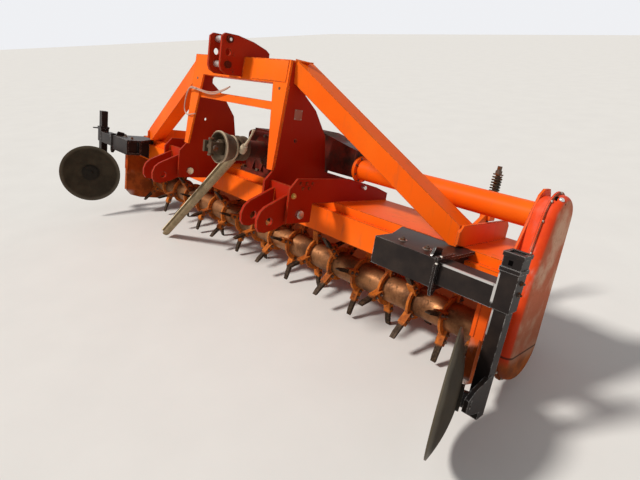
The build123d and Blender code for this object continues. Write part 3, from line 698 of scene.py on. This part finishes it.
# Springs over the levelling board's rods
def coil_springs():
    spring_low = 106.0
    spring_high = 286.0
    coil_r = 21.0
    wire_r = 4.0
    turns = 13
    steps = turns * 24
    mesh = bmesh.new()
    for x in rods_x:
        points = []
        for i in range(steps + 1):
            share = i / steps
            ground = min(share * turns, (1 - share) * turns, 1.0)
            rise = spring_low + wire_r + (spring_high - spring_low - 2 * wire_r) * share
            angle = 2 * pi * turns * share
            radius = coil_r * (0.985 + 0.015 * ground)
            points.append(at(x + radius * cos(angle), rod_y + radius * sin(angle), rise))
        add_tube(mesh, points, wire_r, 8)
    piece("board_springs", mesh, "frame", spring_black)


# Bolt heads and stub pins on the console plates, their places given as (y, z)
def console_bolts():
    lobe_bolts = [(-213, 134), (-177, 134), (-140, 134), (-196, 112), (-159, 112)]
    web_bolt = (-118, 60)
    yellow_bolt = (-247, 78)
    stub_pin = (214, 114)
    mesh = bmesh.new()
    for sign in (1, -1):
        for y, z in lobe_bolts:
            add_bolt(mesh, at(sign * outer_out, y, z), across * sign, flats_m7)
        add_bolt(mesh, at(sign * web_out, *web_bolt), across * sign, flats_m12)
    piece("console_bolts", mesh, "frame", orange_in_painted_shade)

    mesh = bmesh.new()
    for sign in (1, -1):
        add_bolt(mesh, at(sign * outer_out, *yellow_bolt), across * sign, flats_m12, 6)
    piece("console_yellow_bolts", mesh, "frame", yellow_zinc)

    mesh = bmesh.new()
    stub = [(11, -2), (11, 20), (9.5, 22), (0.5, 22)]
    for sign in (1, -1):
        add_lathe(mesh, at(sign * outer_out, *stub_pin), across * sign, stub, 18)
    piece("console_stub_pins", mesh, "frame", bright)


# Caps on the pivot pins and round heads on the top link plates
def pin_hardware():
    pivot = (-200, -8)
    link_heads = [(-268, 646), (-270, 578), (-262, 566)]
    mesh = bmesh.new()
    cap = [(18, 12), (18, 15), (15, 16.5), (0.5, 16.5)]
    for sign in (1, -1):
        add_lathe(mesh, at(sign * outer_out, *pivot), across * sign, cap, 24)
    piece("pin_caps", mesh, "frame", zinc)

    mesh = bmesh.new()
    head = [(7, 0), (7, 1.5), (4, 3.4)]
    for y, z in link_heads:
        for sign in (1, -1):
            add_lathe(mesh, at(sign * top_plate_out, y, z), across * sign, head, 14)
    piece("top_link_dots", mesh, "frame", orange_in_painted_shade)


# Weld beads along the headstock, the beam ends and the feet
def frame_welds():
    deck_front = 30
    deck_seam = ((deck_front, deck_z), (deck_back, deck_z))
    pillar_seam = ((frame_front(170) + 1, 170), (frame_front(540) + 1, 540))
    cross_seam = ((cross_front, cross_high), (-96, cross_high))
    link_front_seam = ((frame_front(560) - 12.5, 562), (-202.5, 648))
    link_top_seam = ((cross_front, cross_high), (-58, cross_high))
    ear_seam = ((-240, -46), (-240, 80))
    foot_seam = ((34, deck_z), (404, deck_z))
    brace_seam = ((-190, 424), (-190, 462))
    beam_end_seam = ((0, 0), (0, -84))
    brace_feet = (1284, -1386)
    foot_t = 12
    mesh = bmesh.new()

    def seam(x, ends, radius):
        """Bead at one x between two places given as (y, z)."""
        start, end = ends
        add_weld(mesh, at(x, *start), at(x, *end), radius)

    for sign in (1, -1):
        for x in (web_in, web_out, outer_in, outer_out):
            seam(sign * x, deck_seam, bead_thick)
        seam(sign * web_out, pillar_seam, bead_thin)
        for x in (web_in, web_out - 1):
            seam(sign * x, cross_seam, bead)
        for x in (top_plate_in, top_plate_out):
            seam(sign * x, link_front_seam, bead_thin)
            seam(sign * x, link_top_seam, bead_thin)
        for x in ear_faces:
            seam(sign * x, ear_seam, bead_thin)
        for y in (-226, -240):
            seam(sign * outer_in, ((y, -44), (y, 112)), bead_thin)
    for foot in brace_feet:
        for x in (foot, foot + foot_t):
            seam(x, foot_seam, bead)
    for sign in (1, -1):
        seam(sign * web_in, brace_seam, bead_thin)
    seam(end_left, deck_seam, bead_thick)
    for x in (end_left, end_right):
        seam(x, beam_end_seam, bead)
    piece("frame_welds", mesh, "frame", orange)


# Panel and plugs of the leaning front frame, its corner plates, and the blank plate on the right web
def front_trim():
    skin = 12.2
    panel_t = 3.0
    corner_t = 5.0
    corner_plate = [(326, -196, 0.6), (413, -196, 0.6), (470, -120, 4), (352, -98, 0.6)]
    panel = rectangle(140, 402, 552.0, 646.0)
    face = (at(0, frame_front(600), 600) - at(0, frame_front(500), 500)).normalized()
    out = across.cross(face).normalized()
    mesh = bmesh.new()
    corners = []
    for x, z in panel:
        corners.append(at(x, frame_front(z), z) + out * skin / 1000)
    add_slab(mesh, corners, out, panel_t)
    for sign in (1, -1):
        corners = [at(sign * x, y, cross_high + rise) for x, y, rise in corner_plate]
        add_slab(mesh, corners, up, corner_t)
    piece("front_panels", mesh, "frame", orange)

    plug_z = 524
    plug_in = 50
    mesh = bmesh.new()
    for sign in (1, -1):
        spot = at(sign * (web_out - plug_in), frame_front(plug_z) - skin, plug_z)
        add_lathe(mesh, spot, out, [(7, 0), (7, 1.0), (4, 1.6)], 14)
    piece("front_plugs", mesh, "frame", dull)

    front = -146
    rear = -98
    low = 396
    high = 444
    blank_t = 1.6
    rivet_in = 5
    mesh = bmesh.new()
    add_plate(mesh, web_out, rectangle(front, rear, low, high), 1, blank_t)
    piece("web_plate", mesh, "frame", blank_plate)
    mesh = bmesh.new()
    rivet = [(2.6, -0.5), (2.6, 0.6), (1.2, 1.2)]
    for y in (front + rivet_in, rear - rivet_in):
        for z in (low + rivet_in, high - rivet_in):
            add_lathe(mesh, at(web_out + blank_t, y, z), across, rivet, 10)
    piece("web_plate_rivets", mesh, "frame", zinc)


def add_twine(mesh, stops, radius):
    """Soft cord through machine points, run smoothly by a NURBS curve."""
    curve = bpy.data.curves.new("twine_route", "CURVE")
    curve.dimensions = "3D"
    line = curve.splines.new("NURBS")
    line.points.add(len(stops) - 1)
    for point, stop in zip(line.points, stops):
        point.co = (*at(*stop), 1)
    line.order_u = 3
    line.use_endpoint_u = True
    line.resolution_u = 8
    route = bpy.data.objects.new("twine_route", curve)
    dots = [vert.co.copy() for vert in bpy.data.meshes.new_from_object(route).vertices]
    bpy.data.objects.remove(route)
    add_tube(mesh, dots, radius, 8)


# Twine tied round the left pillar: a loop beside it, and two strands that end over the middle brace
def twine():
    twine_r = 3.6
    upper = [
        (-392, -236, 470), (-359, -238, 473), (-282, -228, 462),
        (-208, -222, 455), (-101, -222, 472), (-21, -222, 500),
    ]
    lower = [
        (-380, -238, 466), (-314, -236, 462), (-217, -226, 448), (-137, -222, 454), (-38, -222, 492),
    ]
    loop = [
        (-356, -238, 470), (-392, -238, 470), (-430, -230, 452), (-462, -222, 416), (-478, -220, 372),
        (-468, -224, 336), (-428, -232, 317), (-380, -240, 318), (-352, -238, 326), (-336, -226, 330),
    ]
    knot = [(2, -12), (6.5, -7), (7.5, 0), (6.5, 7), (2, 12)]
    knots_at = [(-372, -238, 469), (-334, -238, 466)]
    mesh = bmesh.new()
    for stops in (upper, lower, loop):
        add_twine(mesh, stops, twine_r)
    for spot in knots_at:
        add_lathe(mesh, at(*spot), across, knot, 12)
    piece("pillar_twine", mesh, "frame", twine_finish)


# Bolts round the gearcase and the plug in its top
def gearcase_trim():
    # Bolt circles: centre y, centre z, radius and the angles of the bolts
    circles = [
        (188.0, 207.0, 99.0, (0, 45, 90, 135, 180)),
        (rotor_y, rotor_z, 144.0, (180, 215, 250, 290, 325, 0)),
    ]
    flank_bolts = [(62, 90), (48, -30), (36, -160), (302, 90), (299, -60), (322, -200)]
    mesh = bmesh.new()
    for centre_y, centre_z, radius, angles in circles:
        for degrees in angles:
            spot = at(gearcase_face, *circle(centre_y, centre_z, radius, degrees))
            add_bolt(mesh, spot, across, flats_m5)
    for y, z in flank_bolts:
        add_bolt(mesh, at(gearcase_face, y, z), across, flats_m5)
    piece("gearcase_bolts", mesh, "frame", zinc)

    slope = (across * 0.5 - back * 0.38 + up * 0.78).normalized()
    plug = at(1551, 148, 281)
    # Near-black ring round the plug: painted shade of the recess it sits in
    boss_sunk = 0.012
    mesh = bmesh.new()
    add_lathe(mesh, plug - slope * boss_sunk, slope, [(21, 0), (21, 14), (17, 16), (0.5, 16)], 24)
    piece("gearcase_recess_shade", mesh, "frame", recess_shade)
    mesh = bmesh.new()
    add_lathe(mesh, plug, slope, [(10, 0), (10, 10), (7, 13), (0.5, 13)], 20)
    piece("gearcase_plug", mesh, "frame", bright)


# Left bearing housing, the left plate's bolts, and hinge caps and lip welds on both side plates
def side_plate_trim():
    left_face = end_left - plate_t
    right_face = end_right + plate_t
    housing_t = 17
    housing_bolts_r = 78
    hinge_past = 14
    lip_in = 6
    housing = [
        (92, 0), (92, 14), (88, housing_t), (66, housing_t), (64, 44),
        (58, 50), (22, 50), (20, 46), (0.5, 46),
    ]
    plate_bolts = [(60, -30), (380, -30), (60, -180), (380, -180), (-70, -130), (-70, -330)]
    hinge_cap = [(24, -8), (24, 0), (17.5, 0.5), (17, 5)]
    mesh = bmesh.new()
    add_lathe(mesh, at(left_face, rotor_y, rotor_z), -across, housing, 48)
    piece("left_bearing_housing", mesh, "frame", left_side_paint_painted_shade)

    mesh = bmesh.new()
    for i in range(6):
        place = circle(rotor_y, rotor_z, housing_bolts_r, 30 + 60 * i)
        add_bolt(mesh, at(left_face - housing_t, *place), -across, flats_bearing)
    for y, z in plate_bolts:
        add_bolt(mesh, at(left_face, y, z), -across, flats_m12)
    for x, sign in ((left_face - hinge_past, -1), (right_face + hinge_past, 1)):
        add_lathe(mesh, at(x, hinge_y, hinge_z), across * sign, hinge_cap, 24)
    piece("side_plate_bolts", mesh, "frame", zinc)

    mesh = bmesh.new()
    for x in (end_left - lip_in, end_right + lip_in):
        add_weld(mesh, at(x, -98, -86), at(x, -98, -226), 3.0)
    piece("lip_welds", mesh, "frame", side_paint)


# Clamp bolts, end flange and lugs of the disc arm sleeves
def sleeve_trim():
    sleeve_ends = {1: 1347.0, -1: -1546.0}
    nuts_in = (204, 94)
    nut_y = arm_y + 16
    flange_t = 12
    flange_lip = 9
    lug_in = 46
    lug_t = 10
    mesh = bmesh.new()
    for sign, end in sleeve_ends.items():
        for inset in nuts_in:
            add_bolt(mesh, at(end - sign * inset, nut_y, sleeve_top + 1), up, flats_m10, 5)
    piece("sleeve_nuts", mesh, "frame", dull)

    washer = [(17, -0.3), (17, 1.8)]
    screw = [(4, 0), (4, 8), (3, 9)]
    mesh = bmesh.new()
    for sign, end in sleeve_ends.items():
        for inset in nuts_in:
            add_lathe(mesh, at(end - sign * inset, nut_y, sleeve_top), up, washer, 20)
        for y, z in ((-236, 24), (-214, 46)):
            add_lathe(mesh, at(end - sign * 5, y, z), across * sign, screw, 6)
    piece("sleeve_washers", mesh, "frame", zinc)

    low = sleeve_low - flange_lip
    high = sleeve_top + flange_lip
    front = sleeve_front - flange_lip
    inner_low = sleeve_low + 2
    inner_high = sleeve_top + 0.5
    inner_front = sleeve_front - 0.5
    flange = [
        (front, low), (sleeve_rear, low), (sleeve_rear, inner_low), (inner_front, inner_low),
        (inner_front, inner_high), (sleeve_rear, inner_high), (sleeve_rear, high), (front, high),
    ]
    lug = [(-214, sleeve_top), (-150, sleeve_top), (-150, sleeve_top + 22), (-196, sleeve_top + 30)]
    foot = [(front, low), (front + 34, low), (front + 20, low - 20), (front + 6, low - 20)]
    mesh = bmesh.new()
    for sign, end in sleeve_ends.items():
        add_plate(mesh, end - sign * flange_t, flange, sign, flange_t)
        add_plate(mesh, end - sign * lug_in, lug, sign, lug_t)
        add_plate(mesh, end - sign * flange_t, foot, sign, flange_t)
    piece("sleeve_flanges", mesh, "frame", black)


# Nuts and welds of the upright clamp boxes, a near-black sheet as the painted shade of a square hole, and the
# left one's handle
def box_trim():
    nut_zs = (8, 46)
    rim_zs = {"right": 75, "left": 48}
    handle_z = 34
    handle_len = 110
    bar_at = 104
    bar_half = 34
    rim = rectangle(-box_half, box_half, -box_half, box_half)
    for hand, sign in (("right", 1), ("left", -1)):
        mid = box_x[hand]
        mesh = bmesh.new()
        for z in nut_zs:
            add_bolt(mesh, at(mid + sign * box_half, box_y + 6, z), across * sign, flats_m8, 5)
        piece("box_nuts_" + hand, mesh, "arm_" + hand, dull)

        mesh = bmesh.new()
        if hand == "left":
            face = mid - box_half
            handle = [at(x, box_y, handle_z) for x in (face, face - handle_len)]
            add_tube(mesh, handle, 6.0, 10)
            bar = [at(face - bar_at, box_y + side * bar_half, handle_z) for side in (-1, 1)]
            add_tube(mesh, bar, 5.0, 10)
        for start, end in zip(rim, rim[1:] + rim[:1]):
            low, high = [at(mid + x, box_y + y, rim_zs[hand]) for x, y in (start, end)]
            add_weld(mesh, low, high, 2.0)
        piece("box_welds_" + hand, mesh, "arm_" + hand, black)

    # Near-black sheet on the box's front: painted shade of a square hole
    hole = rectangle(box_x["right"] - 11, box_x["right"] + 3, 98, 114)
    mesh = bmesh.new()
    add_slab(mesh, [at(x, box_y - box_half - 0.1, z) for x, z in hole], -back, 0.5)
    piece("box_hole_painted_shade", mesh, "arm_right", recess_shade)


# Low hub bolts and the pressed middle of the discs
def disc_trim():
    toe = radians(22)
    face_in = 0.0328
    bolts_r = 0.041
    bolts = 5
    bolt = [(6.5, -0.3), (6.5, 1.2), (5, 2.0)]
    cap = [(20, -0.5), (20, 3), (17, 5), (9, 6), (0.5, 6.2)]
    for hand, sign in (("right", 1), ("left", -1)):
        spin = across * (sign * cos(toe)) + back * sin(toe)
        hub = Vector(joints["disc_" + hand + "_spin"]["pos_m"])
        inner = hub + spin * face_in
        level = spin.cross(up).normalized()
        mesh = bmesh.new()
        for i in range(bolts):
            angle = 2 * pi * i / bolts
            spot = inner + (level * cos(angle) + up * sin(angle)) * bolts_r
            add_lathe(mesh, spot, -spin, bolt, 14)
        add_lathe(mesh, inner, -spin, cap, 24)
        piece("disc_hub_" + hand, mesh, "disc_" + hand, node_finishes["disc_" + hand])


# Bolts, ribs and breather of the central gearbox, and the housing beside it
def gearbox_trim():
    foot_z = deck_z + 22
    lid_z = deck_z + 250
    cover_face = 617.2
    rib_t = 9
    lid_t = 9
    web_t = 8
    foot_bolts = [(x, y) for x in (-206, -70, 70, 206) for y in (48, 362)] + [(-206, 205), (206, 205)]
    mesh = bmesh.new()
    for x, y in foot_bolts:
        add_bolt(mesh, at(x, y, foot_z), up, flats_m16)
    for i in range(6):
        x, z = circle(0, neck_z, 74, 30 + 60 * i)
        add_bolt(mesh, at(x, 21, z), -back, flats_m8)
    for x in (-150, -50, 50, 150):
        for y in (100, 310):
            add_bolt(mesh, at(x, y, lid_z), up, flats_m10)
    for i in range(8):
        spot = at(cover_face, *circle(170, 207, 57, 22.5 + 45 * i))
        add_bolt(mesh, spot, across, flats_m5)
    piece("gearbox_bolts", mesh, "frame", dull)

    front_rib = [(55, 66), (55, 120), (40, 80), (38, 66)]
    rear_rib = [(355, 66), (355, 230), (366, 200), (374, 66)]
    side_web = [(119.5, 176), (119.5, 320), (108, 312), (108, 184)]
    breather = [(34, 0), (34, 8), (26, 12), (24, 30), (12, 36), (0.5, 36)]
    mesh = bmesh.new()
    for x in (-120, -40, 40, 120):
        for rib in (front_rib, rear_rib):
            add_plate(mesh, x, rib, 1, rib_t)
    lid = [at(x, y, gearbox_top) for x, y in rectangle(-172, 172, 78, 332)]
    add_slab(mesh, lid, up, lid_t)
    add_lathe(mesh, at(0, 205, gearbox_top + lid_t), up, breather, 28)
    for x in (250, 330):
        add_plate(mesh, x, side_web, 1, web_t)
    piece("gearbox_ribs", mesh, "frame", casting)


# Ribs and low edge bar of the levelling board
def board_trim():
    rib_count = 9
    rib_in = 130
    rib_t = 8
    bar_in = 46
    rib = [(506, -94), (522, -96), (578, -298), (563, -300)]
    mesh = bmesh.new()
    for i in range(rib_count):
        x = end_left + rib_in + i * (end_right - end_left - 2 * rib_in) / (rib_count - 1)
        add_plate(mesh, x, rib, 1, rib_t)
    bar = [at(x, 566, -304) for x in (end_left + bar_in, end_right - bar_in)]
    add_tube(mesh, bar, 11, 12)
    piece("board_ribs", mesh, "board", orange_end)


# Clamp, lever, rim bands and journal caps of the drive guard
def drive_trim():
    clamp = [at(70, -172, 186), at(88, -176, 208), at(102, -180, 224)]
    lever = [at(102, -178, 224), at(120, -172, 256), at(134, -166, 288), at(141, -164, 310)]
    mesh = bmesh.new()
    add_tube(mesh, clamp, [17, 20, 15], 14)
    add_tube(mesh, lever, [9, 6, 5, 8], 12)
    for y, inner, outer in ((-268, 79, 84), (-194, 60, 66)):
        add_ring(mesh, at(0, y, neck_z), back, [(inner, -5), (outer, -4), (outer, 4), (inner, 5)])
    piece("guard_clamp", mesh, "frame", pale_plastic)

    front_band = [(66, -22), (66, -14), (64.4, -13)]
    rear_band = [(64.4, 13), (66, 14), (66, 22)]
    screws_r = 64
    mesh = bmesh.new()
    for band in (front_band, rear_band):
        add_lathe(mesh, at(0, collar_y, neck_z), back, band, 48)
    for degrees in (40, 140):
        x, z = circle(0, neck_z, screws_r, degrees)
        outward = across * cos(radians(degrees)) + up * sin(radians(degrees))
        add_bolt(mesh, at(x, collar_y, z), outward, flats_m8)
    piece("collar_bands", mesh, "frame", collar_plastic)

    cap = [(16, -2), (16, 4), (11, 6), (0.5, 6)]
    nut = [(30, 0), (30, 10), (26, 14), (0.5, 14)]
    nut_y = -267
    cap_x = 46
    cap_rise = 40
    mesh = bmesh.new()
    for sign in (-1, 1):
        add_lathe(mesh, at(sign * cap_x, yoke_y, neck_z), across * sign, cap, 20)
    for sign in (1, -1):
        add_lathe(mesh, at(0, yoke_y, neck_z + sign * cap_rise), up * sign, cap, 20)
    add_lathe(mesh, at(0, nut_y, neck_z), -back, nut, 24)
    piece("yoke_caps", mesh, "frame", dull)


# Bolts that hold the tine points in their holders, on every ring
def tine_bolts():
    tines = 4
    holder_half = 0.018
    bolts_away = (84, 118)
    thread = [(8, -0.3), (8, 4), (6, 6)]
    mesh = bmesh.new()
    for i in range(ring_count):
        x = ring_first - ring_pitch * i
        for k in range(tines):
            angle = radians(first_tine + ring_step * i + 360 / tines * k)
            spoke = back * cos(angle) + up * sin(angle)
            for away in bolts_away:
                spot = axle + (across * x + spoke * away) / 1000
                add_bolt(mesh, spot + across * holder_half, across, flats_m8, 5)
                add_lathe(mesh, spot - across * holder_half, -across, thread, 12)
    piece("tine_bolts", mesh, "rotor", dull)


coil_springs()
console_bolts()
pin_hardware()
frame_welds()
front_trim()
twine()
gearcase_trim()
side_plate_trim()
sleeve_trim()
box_trim()
disc_trim()
gearbox_trim()
board_trim()
drive_trim()
tine_bolts()


# Pale floor, soft light and a hazy sun
def stage():
    finish = Finish("pale_floor")
    grain = finish.noise(3, 3)
    colour = finish.mix(grain, (0.70, 0.68, 0.645, 1), (0.76, 0.74, 0.70, 1))
    floor_finish = finish.surface(colour, 0.9)
    bpy.ops.mesh.primitive_plane_add(size=80, location=(0, 0, 0))
    floor = bpy.context.object
    floor.name = "floor"
    floor.data.materials.append(floor_finish)

    # The sky lights the floor and paint less than it shows to the camera and in reflections
    sky_light = 0.38
    sky_seen = 0.9
    world = bpy.data.worlds.new("soft_studio")
    bpy.context.scene.world = world
    world.use_nodes = True
    nodes = world.node_tree.nodes
    links = world.node_tree.links
    nodes.clear()
    rays = nodes.new("ShaderNodeLightPath")
    seen = rays.outputs["Is Camera Ray"]
    for kind in ("Is Glossy Ray", "Is Transmission Ray"):
        either = nodes.new("ShaderNodeMath")
        either.operation = "ADD"
        links.new(seen, either.inputs[0])
        links.new(rays.outputs[kind], either.inputs[1])
        seen = either.outputs[0]
    strength = nodes.new("ShaderNodeMapRange")
    strength.inputs["To Min"].default_value = sky_light
    strength.inputs["To Max"].default_value = sky_seen
    links.new(seen, strength.inputs["Value"])
    glow = nodes.new("ShaderNodeBackground")
    glow.inputs["Color"].default_value = (0.96, 0.97, 1.0, 1)
    links.new(strength.outputs[0], glow.inputs["Strength"])
    output = nodes.new("ShaderNodeOutputWorld")
    links.new(glow.outputs[0], output.inputs["Surface"])

    towards = Vector((-0.385, -0.563, 0.732))
    key = bpy.data.lights.new("key", "SUN")
    key.energy = 3.1
    key.angle = radians(9)
    key.color = (1.0, 0.975, 0.94)
    lamp = bpy.data.objects.new("key", key)
    lamp.rotation_euler = towards.to_track_quat("Z", "Y").to_euler()
    bpy.context.scene.collection.objects.link(lamp)


def photo_camera():
    """Camera at the photograph's viewing angle, its place counted from the beam's front edge."""
    turn = radians(47.29)
    pitch = radians(25.48)
    roll = radians(-1.34)
    stand = Vector((2.085, -1.442, 0.831))
    behind = Vector((sin(turn) * cos(pitch), -cos(turn) * cos(pitch), sin(pitch)))
    right = (-behind).cross(Vector((0, 0, 1))).normalized()
    above = right.cross(-behind)
    right, above = right * cos(roll) + above * sin(roll), above * cos(roll) - right * sin(roll)
    camera = bpy.data.objects.new("photo_camera", bpy.data.cameras.new("photo_camera"))
    place = Matrix((right, above, behind)).transposed().to_4x4()
    camera.matrix_world = Matrix.Translation(origin + stand) @ place
    camera.data.sensor_fit = "HORIZONTAL"
    camera.data.sensor_width = 36.0
    camera.data.lens = 25.83
    bpy.context.scene.collection.objects.link(camera)
    bpy.context.scene.camera = camera


stage()
photo_camera()
bpy.context.scene.view_settings.view_transform = "Standard"
